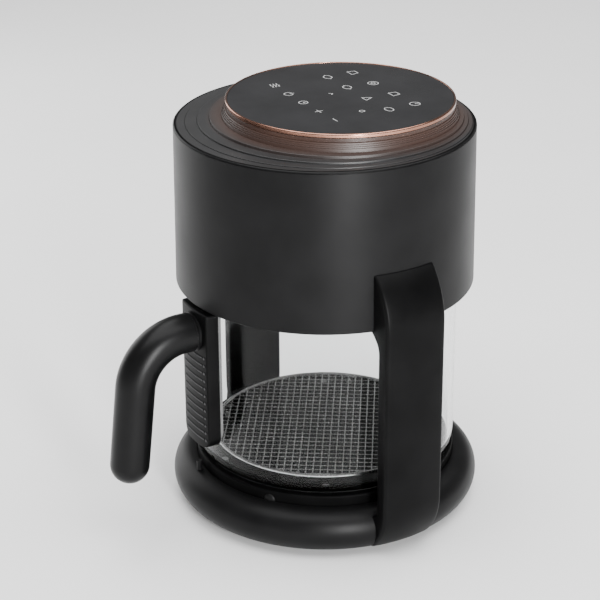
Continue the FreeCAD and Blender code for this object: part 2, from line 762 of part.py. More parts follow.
def wire_layer(label, turn, level, pitch):
    """Parallel wires across the rack, trimmed to the inside of its rim."""
    count = int(2 * number("rack_radius - 3 * rack_wire") / number(pitch))
    wires = []
    for index in range(count + 1):
        offset = (index - count / 2.0) * number(pitch)
        inside = number("rack_radius - 2 * rack_wire - 0.3")
        edge = abs(offset) + number("mesh_wire")
        half = math.sqrt(max(inside ** 2 - edge ** 2, 0.0))
        if half < 12.0:
            continue
        start = Rotation(Vector(0, 0, 1), turn).multVec(Vector(-half, offset, 0))
        wire = doc.addObject("Part::Cylinder", label + "Wire")
        drive(wire, Radius="mesh_wire", Height="%.6f" % (2.0 * half))
        axis = Rotation(Vector(0, 0, 1), turn) * Rotation(Vector(0, 1, 0), 90)
        wires.append(place(wire, amount(start.x), amount(start.y), level, axis))
    keep(group(wires), label)


def make_rack():
    keep(torus("rack_radius - rack_wire", "rack_wire", "rack_level"), "rack_rim")
    wire_layer("rack_wires_across", number("rack_turn"), "rack_level - mesh_wire - 0.02",
               "cross_pitch")
    wire_layer("rack_wires_along", number("rack_turn + 90"), "rack_level + mesh_wire + 0.02",
               "mesh_pitch")
    leg_points = circle_points(4, "rack_radius - rack_wire - 6", 45.0)
    feet = [cylinder("rack_foot_radius", "jar_bottom + jar_floor + 0.1", "jar_bottom + jar_floor + 1.6", x, y)
            for x, y in leg_points]
    keep(group(feet), "rack_feet")
    legs = [cylinder("rack_wire", "jar_bottom + jar_floor + 1.6", "rack_level - 2 * mesh_wire - 0.1", x, y)
            for x, y in leg_points]
    keep(group(legs), "rack_legs")


make_base()
make_column("near", 0.0)
make_column("far", 180.0)
make_column_screws()
make_head()
make_top()
make_chamber()
make_motor()
make_electronics()
make_jar()
make_bracket()
make_handle()
make_rack()

doc.recompute()
for thing in doc.Objects:
    if "Invalid" in thing.State or "Error" in thing.State:
        raise RuntimeError("object failed: " + thing.Label)
os.makedirs("parts", exist_ok=True)
for thing in sub_parts:
    if thing.Shape.isNull() or not thing.Shape.isValid():
        raise RuntimeError("sub-part has no valid shape: " + thing.Label)
    thing.Shape.exportStep("parts/%s.step" % thing.Label)
    print("%-22s %10.0f mm3, %d solids" % (thing.Label, thing.Shape.Volume, len(thing.Shape.Solids)))
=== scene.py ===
"""Looks for an air fryer: a drum head on two columns over a pull-out glass jar with a wire rack."""
import json
import math

import bmesh
import bpy
import numpy as np
from bpy.props import FloatProperty, FloatVectorProperty, PointerProperty
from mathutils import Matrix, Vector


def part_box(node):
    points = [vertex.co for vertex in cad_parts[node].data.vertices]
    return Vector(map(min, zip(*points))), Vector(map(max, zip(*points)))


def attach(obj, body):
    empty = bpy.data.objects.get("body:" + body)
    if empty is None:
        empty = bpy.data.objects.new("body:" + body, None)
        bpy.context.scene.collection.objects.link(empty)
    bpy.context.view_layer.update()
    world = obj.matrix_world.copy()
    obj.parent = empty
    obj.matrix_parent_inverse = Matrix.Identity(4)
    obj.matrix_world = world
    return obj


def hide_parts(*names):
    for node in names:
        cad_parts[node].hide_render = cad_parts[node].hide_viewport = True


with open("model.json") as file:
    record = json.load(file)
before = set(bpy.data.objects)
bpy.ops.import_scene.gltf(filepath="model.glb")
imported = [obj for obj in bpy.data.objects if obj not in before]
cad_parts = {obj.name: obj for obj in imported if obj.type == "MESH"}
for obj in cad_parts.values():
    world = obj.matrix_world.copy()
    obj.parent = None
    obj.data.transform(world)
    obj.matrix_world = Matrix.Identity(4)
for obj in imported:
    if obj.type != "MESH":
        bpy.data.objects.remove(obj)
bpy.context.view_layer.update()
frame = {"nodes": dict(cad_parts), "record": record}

bl_info = {
    "name": "Air fryer with glass jar",
    "version": (1, 0, 0),
    "blender": (4, 5, 0),
    "location": "View3D > Sidebar > Air Fryer",
    "description": "Builds the moulded, glass, wire and printed surfaces of a glass-jar air fryer",
    "category": "Object",
}

MM = 0.001
TURN = 2.0 * math.pi

HEAD_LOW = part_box("head_shell")[0].z
HEAD_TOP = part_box("head_shell")[1].z
HEAD_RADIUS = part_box("head_shell")[1].x
HEAD_RIM_RADIUS = HEAD_RADIUS - 1.3 * MM
VENT_HALF_WIDTH, VENT_HEIGHT, VENT_DEPTH = 23 * MM, 3 * MM, 2.4 * MM
VENT_LEVELS = [HEAD_LOW + (62 + 7 * step) * MM for step in range(6)]
PANEL_LOW, PANEL_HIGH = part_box("bezel_ring")
PANEL_RADIUS = PANEL_HIGH.x
PANEL_Y = (PANEL_LOW.y + PANEL_HIGH.y) / 2.0
GLASS_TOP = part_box("touch_glass")[1].z
SEAT_LOW, SEAT_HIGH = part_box("jar_seat")
JAR_LOW, JAR_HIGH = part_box("glass_jar")
BRACKET_LOW, BRACKET_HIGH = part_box("handle_bracket")
COLUMN_LOW, COLUMN_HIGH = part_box("column_cover_near")
GRIP_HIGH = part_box("handle_grip")[1]
RACK_LOW, RACK_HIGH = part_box("rack_rim")


# ---- shapes -------------------------------------------------------------------------------------

def rounded(corners, closed=True, steps=7):
    """Outline points (radius, height) of straight runs with rounded corners.

    At a corner whose runs meet at an angle w, an arc of radius c starts c / tan(w / 2) before the
    corner, and its centre lies c / sin(w / 2) away along the bisector. A guard point on each side
    of an arc keeps the shading of the long runs flat.
    """
    points = []
    count = len(corners)
    for index, (radius, height, bend) in enumerate(corners):
        here = np.array([radius, height])
        ends = not closed and index in (0, count - 1)
        if bend <= 0.0 or ends:
            points.append(here[None, :])
            continue
        before = np.array(corners[index - 1][:2]) - here
        after = np.array(corners[(index + 1) % count][:2]) - here
        reach = min(np.linalg.norm(before), np.linalg.norm(after))
        before /= np.linalg.norm(before)
        after /= np.linalg.norm(after)
        half = math.acos(float(np.clip(before @ after, -1.0, 1.0))) / 2.0
        start = bend / math.tan(half)
        centre = here + (before + after) / np.linalg.norm(before + after) * bend / math.sin(half)
        first = here + before * start - centre
        last = here + after * start - centre
        span = math.pi - 2.0 * half
        t = np.linspace(0.0, 1.0, steps)[:, None]
        arc = centre + (np.sin((1.0 - t) * span) * first + np.sin(t * span) * last) / math.sin(span)
        guard = min(start + bend * 0.3, reach * 0.48)
        points += [(here + before * guard)[None, :], arc, (here + after * guard)[None, :]]
    return np.concatenate(points)


def turned(outline, offsets=0.0, columns=192):
    """A grid of an outline turned about a vertical axis: x = r cos t, y = offset + r sin t, z = h."""
    t = np.linspace(0.0, TURN, columns, endpoint=False)
    radius = outline[:, 0][:, None]
    shift = np.broadcast_to(np.asarray(offsets, float), outline.shape[:1])[:, None]
    height = np.broadcast_to(outline[:, 1][:, None], (len(outline), columns))
    return np.stack([radius * np.cos(t), shift + radius * np.sin(t), height], axis=-1)


def tube(path, across, along, up, closed=False, sides=24):
    """A grid round a path: point + s a cos u + n b sin u, where s and n are square to the path.

    across and along give the two half widths at each path point; up chooses the direction of n.
    """
    if closed:
        heading = np.roll(path, -1, axis=0) - np.roll(path, 1, axis=0)
    else:
        heading = np.gradient(path, axis=0)
    heading /= np.maximum(np.linalg.norm(heading, axis=1, keepdims=True), 1e-12)
    side = np.cross(heading, np.asarray(up, float))
    side /= np.linalg.norm(side, axis=1, keepdims=True)
    normal = np.cross(side, heading)
    u = np.linspace(0.0, TURN, sides, endpoint=False)
    wide = np.broadcast_to(np.asarray(across, float), path.shape[:1])[:, None, None]
    high = np.broadcast_to(np.asarray(along, float), path.shape[:1])[:, None, None]
    ring = side[:, None] * wide * np.cos(u)[None, :, None]
    return path[:, None] + ring + normal[:, None] * high * np.sin(u)[None, :, None]


def capped(path, half_width, half_height, up, sides=8):
    """An open tube whose two ends close to a point, as a grid."""
    path = np.concatenate([path[:1], path, path[-1:]])
    wide = np.full(len(path), half_width)
    high = np.full(len(path), half_height)
    wide[[0, -1]] = 0.0
    high[[0, -1]] = 0.0
    # the repeated end points take their direction from the run beside them
    path[0] = path[1] - (path[2] - path[1]) * 0.02
    path[-1] = path[-2] + (path[-2] - path[-3]) * 0.02
    return tube(path, wide, high, up, sides=sides)


def slab_section(half_depth, half_width, bend, steps=7, between=14):
    """Rounded rectangles (rows, n, 2), one for each row of half depths, widths and corner radii.

    A corner adds an arc of direction (cos w, sin w) to the inner corner's place; the two wide sides
    get points in between, at even steps from one corner to the next.
    """
    t = np.linspace(0.0, math.pi / 2.0, steps)
    inner = np.stack([half_depth - bend, half_width - bend], axis=1)[:, None, :]
    even = np.linspace(0.0, 1.0, between + 2)[1:-1][:, None]
    parts = []
    for number, sign in enumerate(((1, 1), (-1, 1), (-1, -1), (1, -1))):
        angle = t + number * math.pi / 2.0
        arc = np.stack([np.cos(angle), np.sin(angle)], axis=1)
        corner = inner * np.array(sign) + bend[:, None, None] * arc
        if number in (0, 2):
            parts.append(corner)
        else:
            # the wide side that follows this corner runs on to the next one
            step = inner * np.array([sign[0], -sign[1]]) + bend[:, None, None] * arc[-1]
            parts += [corner, corner[:, -1:] + even * (step - corner[:, -1:])]
    return np.concatenate(parts, axis=1)


def build(name, grids, body, material, replaced=(), crease=35.0):
    """Joins grids (points, rows wrap, columns wrap) into one closed mesh piece and dresses it.

    Each grid point is joined to the next along both parameters. The signed volume, one sixth of the
    sum of a . (b x c) over all faces, shows whether a grid is inside out, and turns its faces.
    """
    vertices = []
    faces = []
    start = 0
    for points, wrap_rows, wrap_columns in grids:
        rows, columns = points.shape[:2]
        index = np.arange(rows * columns).reshape(rows, columns)
        below = index if wrap_rows else index[:-1]
        above = np.roll(index, -1, axis=0) if wrap_rows else index[1:]
        if wrap_columns:
            quads = np.stack([below, above, np.roll(above, -1, 1), np.roll(below, -1, 1)], axis=-1)
        else:
            quads = np.stack([below[:, :-1], above[:, :-1], above[:, 1:], below[:, 1:]], axis=-1)
        quads = quads.reshape(-1, 4)
        flat = points.reshape(-1, 3)
        corner = flat[quads] - flat.mean(axis=0)
        volume = np.einsum("ij,ij->i", corner[:, 0], np.cross(corner[:, 1], corner[:, 2])).sum()
        volume += np.einsum("ij,ij->i", corner[:, 0], np.cross(corner[:, 2], corner[:, 3])).sum()
        if volume < 0.0:
            quads = quads[:, ::-1]
        vertices.append(flat)
        faces.append(quads + start)
        start += len(flat)
    mesh = bpy.data.meshes.new(name)
    mesh.from_pydata(np.concatenate(vertices), [], np.concatenate(faces).tolist())
    work = bmesh.new()
    work.from_mesh(mesh)
    bmesh.ops.remove_doubles(work, verts=work.verts, dist=1e-7)
    bmesh.ops.dissolve_degenerate(work, edges=work.edges, dist=1e-8)
    work.to_mesh(mesh)
    work.free()
    mesh.validate()
    mesh.shade_smooth()
    mesh.set_sharp_from_angle(angle=math.radians(crease))
    mesh.materials.append(material)
    piece = bpy.data.objects.new(name, mesh)
    bpy.context.scene.collection.objects.link(piece)
    if replaced:
        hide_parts(*replaced)
    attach(piece, body)
    return piece


# ---- finishes -----------------------------------------------------------------------------------

class Finish:
    """A Principled material whose colour, roughness and relief come from noise in object space."""

    def __init__(self, name, **sockets):
        self.material = bpy.data.materials.new(name)
        self.material.use_nodes = True
        self.tree = self.material.node_tree
        self.shader = self.tree.nodes["Principled BSDF"]
        self.place = self.tree.nodes.new("ShaderNodeTexCoord").outputs["Object"]
        for socket, value in sockets.items():
            self.shader.inputs[socket.replace("_", " ")].default_value = value

    def join(self, source, target):
        """Links an output to an input."""
        self.tree.links.new(source, target)

    def noise(self, scale, detail=3.0, stretch=(1.0, 1.0, 1.0)):
        """Fractal noise in metres; stretch scales the three axes, so that a small value draws it out."""
        mapping = self.tree.nodes.new("ShaderNodeMapping")
        mapping.inputs["Scale"].default_value = stretch
        texture = self.tree.nodes.new("ShaderNodeTexNoise")
        texture.inputs["Scale"].default_value = scale
        texture.inputs["Detail"].default_value = detail
        self.join(self.place, mapping.inputs["Vector"])
        self.join(mapping.outputs["Vector"], texture.inputs["Vector"])
        return texture.outputs["Fac"]

    def spread(self, source, low, high, start=0.3, end=0.7):
        """Rescales a 0 to 1 pattern to run from low to high."""
        node = self.tree.nodes.new("ShaderNodeMapRange")
        node.inputs["From Min"].default_value = start
        node.inputs["From Max"].default_value = end
        node.inputs["To Min"].default_value = low
        node.inputs["To Max"].default_value = high
        self.join(source, node.inputs["Value"])
        return node.outputs["Result"]

    def blend(self, factor, first, second):
        """A colour between two colours or sockets, by a pattern."""
        node = self.tree.nodes.new("ShaderNodeMix")
        node.data_type = "RGBA"
        self.join(factor, node.inputs["Factor"])
        for value, socket in ((first, node.inputs[6]), (second, node.inputs[7])):
            if hasattr(value, "links"):
                self.join(value, socket)
            else:
                socket.default_value = (*value, 1.0)
        return node.outputs[2]

    def relief(self, source, height):
        """Raises or sinks the surface by a pattern, adding to any relief already there."""
        node = self.tree.nodes.new("ShaderNodeBump")
        node.inputs["Strength"].default_value = 1.0
        node.inputs["Distance"].default_value = height
        self.join(source, node.inputs["Height"])
        earlier = self.shader.inputs["Normal"]
        if earlier.is_linked:
            self.join(earlier.links[0].from_socket, node.inputs["Normal"])
        self.join(node.outputs["Normal"], earlier)

    def colour(self, source):
        """Drives the base colour."""
        self.join(source, self.shader.inputs["Base Color"])

    def rough(self, source):
        """Drives the roughness."""
        self.join(source, self.shader.inputs["Roughness"])


def moulded(name, tone, rough, specular, grain=2600.0, depth=0.00002):
    """Moulded plastic: a fine spark-eroded grain, faint flow mottling and rubbed, smoother patches."""
    finish = Finish(name, Specular_IOR_Level=specular)
    light = tuple(min(channel * 1.25 + 0.001, 1.0) for channel in tone)
    dark = tuple(channel * 0.82 for channel in tone)
    finish.colour(finish.blend(finish.spread(finish.noise(34.0), 0.0, 1.0), dark, light))
    finish.rough(finish.spread(finish.noise(18.0, 4.0), rough - 0.035, rough + 0.035))
    finish.relief(finish.noise(grain, 2.0), depth)
    return finish


def metal(name, tone, rough, stretch=(1.0, 1.0, 1.0), scratch=900.0):
    """Bare metal: drawn or brushed lines, dulled patches and a slightly uneven colour."""
    finish = Finish(name, Metallic=1.0)
    dull = tuple(channel * 0.72 for channel in tone)
    finish.colour(finish.blend(finish.spread(finish.noise(60.0, 4.0), 0.0, 1.0), tone, dull))
    lines = finish.noise(scratch, 3.0, stretch)
    finish.rough(finish.spread(lines, rough * 0.75, rough * 1.3))
    finish.relief(lines, 0.000006)
    return finish


def fibrous(name, tone, rough):
    """Matt, soft or sintered stuff with a coarse speckle."""
    finish = Finish(name, Roughness=rough)
    pale = tuple(min(channel * 1.35, 1.0) for channel in tone)
    finish.colour(finish.blend(finish.spread(finish.noise(420.0, 5.0), 0.0, 1.0), tone, pale))
    finish.relief(finish.noise(700.0, 5.0), 0.00015)
    return finish


def tint_by_radius(finish, centre_y, clear, full, tint):
    """Blends a tint into a finish by distance from an upright axis, none at one radius, all at another."""
    mapping = finish.tree.nodes.new("ShaderNodeMapping")
    mapping.inputs["Location"].default_value = (0.0, -centre_y, 0.0)
    mapping.inputs["Scale"].default_value = (1.0, 1.0, 0.0)
    length = finish.tree.nodes.new("ShaderNodeVectorMath")
    length.operation = "LENGTH"
    finish.join(finish.place, mapping.inputs["Vector"])
    finish.join(mapping.outputs["Vector"], length.inputs[0])
    low, high = (0.0, 1.0) if full > clear else (1.0, 0.0)
    fade = finish.spread(length.outputs["Value"], low, high, min(clear, full), max(clear, full))
    plain = finish.shader.inputs["Base Color"].links[0].from_socket
    finish.colour(finish.blend(fade, plain, tint))
    return finish


def glass_finish(name, tone, rough):
    """Clear blown glass with faint waviness and a trace of smears in its gloss."""
    finish = Finish(name, Transmission_Weight=1.0, IOR=1.18, Base_Color=(*tone, 1.0))
    finish.rough(finish.spread(finish.noise(22.0, 4.0), rough, rough + 0.012))
    finish.relief(finish.noise(9.0, 1.0), 0.00001)
    return finish


def finishes(look):
    """One finish for each material slot of the record."""
    black = tuple(look.body_colour)
    return {
        "satin_black": moulded("satin black", black, look.body_roughness, 0.12),
        "handle_black": moulded("handle black", tuple(c * 0.8 for c in black), 0.33, 0.14),
        "panel_glass": moulded("panel glass", (0.010, 0.010, 0.011), 0.3, 0.25, 90.0, 0.000004),
        "rose_gold": metal("rose gold", tuple(look.trim_colour), 0.16, (0.02, 0.02, 6.0), 500.0),
        "clear_glass": glass_finish("clear glass", (0.97, 0.98, 0.98), 0.0),
        "stainless_wire": metal("stainless wire", (0.9, 0.9, 0.89), 0.22),
        "silicone": fibrous("silicone", (0.10, 0.10, 0.10), 0.6),
        "foot_rubber": fibrous("foot rubber", (0.018, 0.018, 0.018), 0.75),
        "sheet_steel": metal("sheet steel", (0.55, 0.55, 0.55), 0.34, (1.0, 14.0, 1.0)),
        "ballast_iron": metal("ballast iron", (0.24, 0.23, 0.22), 0.6),
        "zinc_screw": metal("zinc screw", (0.62, 0.63, 0.65), 0.3),
        "board_green": fibrous("board green", (0.01, 0.09, 0.03), 0.5),
        "component_black": moulded("component black", (0.02, 0.02, 0.02), 0.5, 0.5),
        "white_plastic": moulded("white plastic", (0.75, 0.75, 0.73), 0.45, 0.5),
        "shield_aluminium": metal("shield aluminium", (0.66, 0.66, 0.67), 0.3, (1.0, 1.0, 10.0)),
        "heater_sheath": metal("heater sheath", (0.20, 0.18, 0.16), 0.5),
        "insulation_wool": fibrous("insulation wool", (0.62, 0.60, 0.54), 0.95),
        "copper_winding": metal("copper winding", (0.75, 0.35, 0.2), 0.35, (1.0, 1.0, 20.0)),
        "core_steel": metal("core steel", (0.35, 0.35, 0.36), 0.45, (1.0, 1.0, 25.0)),
        "brass_insert": metal("brass insert", (0.72, 0.55, 0.28), 0.3),
        # painted highlight: the terraced top gets a lighter copy of the body black, for the light its
        # upward lands catch from above; the copper tint beside the panel is the part's own colour
        "terrace": tint_by_radius(
            moulded("terrace satin painted highlight", tuple(c * 2.4 for c in black), 0.42, 0.5),
            PANEL_Y, PANEL_RADIUS + 16 * MM, PANEL_RADIUS, tuple(look.tint_colour)),
        "panel_skirt": moulded("panel skirt", tuple(look.tint_colour), 0.34, 0.5),
        # painted shade: the plinth in the well under the jar gets a darker copy of the body black, for the
        # shade that falls there
        "seat_painted_shade": moulded("seat painted shade", tuple(c * 0.5 for c in black), 0.5, 0.03),
        # painted shade: the columns get a darker copy of the body black than the drum, which is the same
        # plastic
        "column_painted_shade": moulded("column painted shade", tuple(c * 0.6 for c in black), 0.4, 0.06),
        # painted shade and painted highlight: the bracket gets a darker copy of the body black, and the
        # raised rib tops and dots are painted a lighter grey where light catches them
        "bracket_shade_and_highlight": tint_by_radius(
            moulded("bracket shade and highlight", tuple(c * 0.6 for c in black), 0.4, 0.06),
            0.0, -BRACKET_LOW.y - 0.9 * MM, -BRACKET_LOW.y - 0.35 * MM, (0.06, 0.06, 0.062)),
        "symbol_print": fibrous("symbol print", (0.30, 0.30, 0.30), 0.55),
    }


DRESS = {}


# ---- properties ---------------------------------------------------------------------------------

class FryerLook(bpy.types.PropertyGroup):
    """Colours and gloss that a user may want to change before the pieces are built."""
    body_colour: FloatVectorProperty(name="Body colour", description="Colour of the moulded body",
                                     subtype="COLOR", default=(0.0032, 0.0032, 0.0034), min=0.0, max=1.0)
    body_roughness: FloatProperty(name="Body roughness", description="Dullness of the moulded body",
                                  subtype="FACTOR", default=0.40, min=0.1, max=1.0)
    trim_colour: FloatVectorProperty(name="Trim colour", description="Colour of the panel's metal rim",
                                     subtype="COLOR", default=(0.42, 0.22, 0.16), min=0.0, max=1.0)
    tint_colour: FloatVectorProperty(name="Tint colour", description="Copper tint beside the panel",
                                     subtype="COLOR", default=(0.045, 0.024, 0.018), min=0.0, max=1.0)


class FryerSizes(bpy.types.PropertyGroup):
    """Small sizes of the surface detail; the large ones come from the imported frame."""
    rib_pitch: FloatProperty(name="Rib pitch", description="Distance between the bracket's ribs",
                             unit="LENGTH", default=6.6 * MM, min=0.002, max=0.02)
    mesh_pitch: FloatProperty(name="Mesh pitch", description="Distance between the rack's long wires",
                              unit="LENGTH", default=5.8 * MM, min=0.003, max=0.02)
    cross_pitch: FloatProperty(name="Cross pitch", description="Distance between the rack's cross wires",
                               unit="LENGTH", default=6.7 * MM, min=0.003, max=0.02)
    wire_radius: FloatProperty(name="Wire radius", description="Half the thickness of the rack's wires",
                               unit="LENGTH", default=0.47 * MM, min=0.0002, max=0.002)
    rack_turn: FloatProperty(name="Rack turn", description="Direction of the rack's long wires",
                             subtype="ANGLE", default=math.radians(57.0))
    stroke: FloatProperty(name="Symbol stroke", description="Line width of the key symbols",
                          unit="LENGTH", default=0.8 * MM, min=0.0002, max=0.003)


# ---- pieces -------------------------------------------------------------------------------------

class FRYER_OT_finishes(bpy.types.Operator):
    """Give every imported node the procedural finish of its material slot"""
    bl_idname = "fryer.finishes"
    bl_label = "Finishes"

    def execute(self, context):
        DRESS.update(finishes(context.scene.fryer_look))
        slots = {part["node"]: part["material_slot"] for part in frame["record"]["subparts"]}
        for node, piece in frame["nodes"].items():
            piece.data.materials.clear()
            piece.data.materials.append(DRESS[slots[node]].material)
        return {"FINISHED"}


class FRYER_OT_drum(bpy.types.Operator):
    """Build the head's drum, with its rounded rim and the vent slots at the back"""
    bl_idname = "fryer.drum"
    bl_label = "Drum"

    def execute(self, context):
        low, high = HEAD_LOW, HEAD_TOP
        wall = 2.7 * MM
        levels = np.unique(np.concatenate(
            [np.linspace(low + 2 * MM, high - 3 * MM, 24)]
            + [level + np.array([-0.2, 0.25, 2.75, 3.2]) * MM for level in VENT_LEVELS]))
        side = np.stack([np.interp(levels, [low, high], [HEAD_RADIUS, HEAD_RIM_RADIUS]), levels], 1)
        foot = rounded([(HEAD_RADIUS - wall, low, 0), (HEAD_RADIUS, low, 0.8 * MM),
                        (side[0, 0], side[0, 1], 0)], closed=False)
        rim = rounded([(side[-1, 0], side[-1, 1], 0), (HEAD_RIM_RADIUS, high, 2 * MM),
                       (HEAD_RIM_RADIUS - wall, high, 0.3 * MM),
                       (HEAD_RIM_RADIUS - wall, high - 4 * MM, 0)], closed=False)
        outline = np.concatenate([foot[:-1], side, rim[1:]])
        # angles are drawn together at the ends of the slots
        half = math.asin(VENT_HALF_WIDTH / HEAD_RADIUS)
        near_end = np.array([-0.004, -0.001, 0.001, 0.004])
        close = np.concatenate([math.pi / 2 + end * half + near_end for end in (-1, 1)])
        t = np.sort(np.concatenate([np.linspace(0.0, TURN, 248, endpoint=False), close]))
        radius, height = outline[:, :1], outline[:, 1:]
        inside = np.abs(t - math.pi / 2) < half
        rows = np.zeros(len(height), bool)
        for start in VENT_LEVELS:
            rows |= (height[:, 0] > start) & (height[:, 0] < start + VENT_HEIGHT)
        outer = radius[:, 0] > HEAD_RIM_RADIUS - 0.5 * MM
        sunk = radius - VENT_DEPTH * (rows & outer)[:, None] * inside[None, :]
        grid = np.stack([sunk * np.cos(t), sunk * np.sin(t), np.broadcast_to(height, sunk.shape)], -1)
        build("drum", [(grid, True, True)], "frame", DRESS["satin_black"].material,
              ["head_shell"], 30.0)
        return {"FINISHED"}


class FRYER_OT_top(bpy.types.Operator):
    """Build the terraced top: circles that shrink, shift and rise towards the panel, softly stepped"""
    bl_idname = "fryer.top"
    bl_label = "Terraced top"

    def execute(self, context):
        slope, neck, rise = 93.2 * MM, 91.0 * MM, 6.2 * MM
        climb = PANEL_LOW.z - HEAD_TOP - rise
        hole = neck - 5 * MM
        rings = [(HEAD_RIM_RADIUS - 2.8 * MM, 0.0, HEAD_TOP - 0.1 * MM)]
        for k in range(1, 5):
            part = k / 4.0
            rings.append((HEAD_RIM_RADIUS + (slope - HEAD_RIM_RADIUS) * part, PANEL_Y * part,
                          HEAD_TOP + rise * part ** 2))
        for k in range(1, 4):
            part = k / 3.0
            rings.append((slope + (neck - slope) * part, PANEL_Y, HEAD_TOP + rise + climb * part))
        profile = [(rings[0][0], HEAD_TOP - 4 * MM, 0.0), (rings[0][0], rings[0][2], 0.0)]
        for (radius, offset, level), (last, _, before) in zip(rings[1:], rings[:-1]):
            soft = min(0.4 * MM, (level - before) * 0.4)
            foot = min(0.45 * MM, 0.25 * (last - radius))
            # a thin groove at each riser's foot, then a rounded edge onto the next land, with a
            # guard point on each side that keeps the land flat
            profile += [(radius + foot * 2.2, before, offset), (radius + foot, before, offset),
                        (radius + foot * 0.3, before - foot * 0.7, offset),
                        (radius, before, offset), (radius, level - soft, offset),
                        (radius - soft * 0.3, level - soft * 0.3, offset), (radius - soft, level, offset),
                        (radius - soft - foot * 0.8, level, offset)]
        profile += [(hole, rings[-1][2], PANEL_Y), (hole, HEAD_TOP - 4 * MM, PANEL_Y)]
        profile = np.array(profile)
        grid = turned(profile[:, :2], profile[:, 2], 256)
        build("terraced_top", [(grid, True, True)], "frame",
              DRESS["terrace"].material, ["top_cover"], 40.0)
        return {"FINISHED"}


class FRYER_OT_bezel(bpy.types.Operator):
    """Build the polished rim round the touch panel, with a tinted skirt under a fine step"""
    bl_idname = "fryer.bezel"
    bl_label = "Panel rim"

    def execute(self, context):
        low, high = PANEL_LOW.z, PANEL_HIGH.z
        inner = PANEL_RADIUS - 1.7 * MM
        step = high - 3.4 * MM
        outline = rounded([(inner, step, 0.2 * MM), (PANEL_RADIUS, step, 0.5 * MM),
                           (PANEL_RADIUS, high, 1.0 * MM), (inner, high, 0.4 * MM)])
        build("panel_rim", [(turned(outline, PANEL_Y, 256), True, True)], "frame",
              DRESS["rose_gold"].material, ["bezel_ring"])
        skirt = rounded([(inner, low, 0.2 * MM), (PANEL_RADIUS - 0.5 * MM, low, 0.3 * MM),
                         (PANEL_RADIUS - 0.5 * MM, step - 0.1 * MM, 0.2 * MM),
                         (inner, step - 0.1 * MM, 0.2 * MM)])
        build("panel_skirt", [(turned(skirt, PANEL_Y, 256), True, True)], "frame",
              DRESS["panel_skirt"].material)
        return {"FINISHED"}


def circle(radius, squash=1.0, start=0.0, sweep=TURN, count=28):
    """Points r cos t, r s sin t and whether they close; a full turn leaves out its last point."""
    full = sweep >= TURN
    t = start + np.linspace(0.0, sweep, count, endpoint=not full)
    return np.stack([radius * np.cos(t), radius * squash * np.sin(t)], axis=1), full


def stroke(*corners):
    """Open points along straight runs between corners, each run in eight equal parts."""
    corners = np.array(corners, float)
    place = np.linspace(0.0, len(corners) - 1.0, 8 * (len(corners) - 1) + 1)
    return np.stack([np.interp(place, np.arange(len(corners)), corners[:, axis])
                     for axis in (0, 1)], axis=1), False


SYMBOL_SHIFT = np.array([-4.4, 2.6])
SYMBOL_GROWTH = 1.35


def symbols():
    """Generic key symbols as (points in mm, closed) on the panel's plane."""
    along = np.linspace(-3.0, 3.0, 25)
    eye = [circle(3.0, 0.8), stroke((-4.2, 0), (-3.2, 0)), stroke((3.2, 0), (4.2, 0))]
    tray = [stroke((-3, -2.4), (3, -2.4), (2.2, 2.4), (-2.2, 2.4), (-3, -2.4))]
    target = [circle(3.1), circle(1.2)]
    tent = [stroke((-2.7, -2.0), (2.7, -2.0), (0, 3.2), (-2.7, -2.0))]
    dish = [circle(3.3, 0.7)]
    dial = [circle(3.0), stroke((0, 0), (0, 3.3))]
    arrow = [stroke((-1.6, -0.9), (0, 0.9), (1.6, -0.9))]
    dot = [circle(1.5)]
    waves = [(np.stack([along, rise + 0.5 * np.sin(along * 2.1)], 1), False) for rise in (-2.0, 0.0, 2.0)]
    power = [circle(2.6, 1.0, 1.9, 5.5), stroke((0, 0.7), (0, 3.7))]
    clock = [circle(2.6), stroke((0, 1.6), (0, 0), (1.5, 0))]
    minus = [stroke((-2.6, 0), (2.6, 0))]
    plus = minus + [stroke((0, -2.6), (0, 2.6))]
    keys = (
        (-43.4, 28.2, eye), (-12.9, 28.1, eye), (-43.3, 51.8, tray), (20.1, 51.4, tray),
        (-11.4, 51.3, target), (18.9, 27.0, tent), (50.0, 27.7, dish), (48.9, 51.9, dial),
        (-5.0, 8.9, arrow), (43.1, 7.6, dot), (-46.0, -19.1, waves), (-21.6, -20.3, power),
        (2.4, -20.8, clock), (26.8, -21.1, plus), (50.6, -20.8, minus),
    )
    return [(np.array([x, y]) + SYMBOL_GROWTH * points, closed)
            for x, y, marks in keys for points, closed in marks]


class FRYER_OT_symbols(bpy.types.Operator):
    """Print thin generic key symbols on the touch panel"""
    bl_idname = "fryer.symbols"
    bl_label = "Key symbols"

    def execute(self, context):
        half = context.scene.fryer_sizes.stroke / 2.0
        level = GLASS_TOP + 0.03 * MM
        grids = []
        for points, closed in symbols():
            place = (points + SYMBOL_SHIFT) * MM
            path = np.column_stack([place, np.full(len(points), level)])
            if closed:
                grid = tube(path, half, 0.03 * MM, (0, 0, 1), True, 8)
            else:
                grid = capped(path, half, 0.03 * MM, (0, 0, 1))
            grids.append((grid, closed, True))
        build("key_symbols", grids, "frame", DRESS["symbol_print"].material)
        return {"FINISHED"}


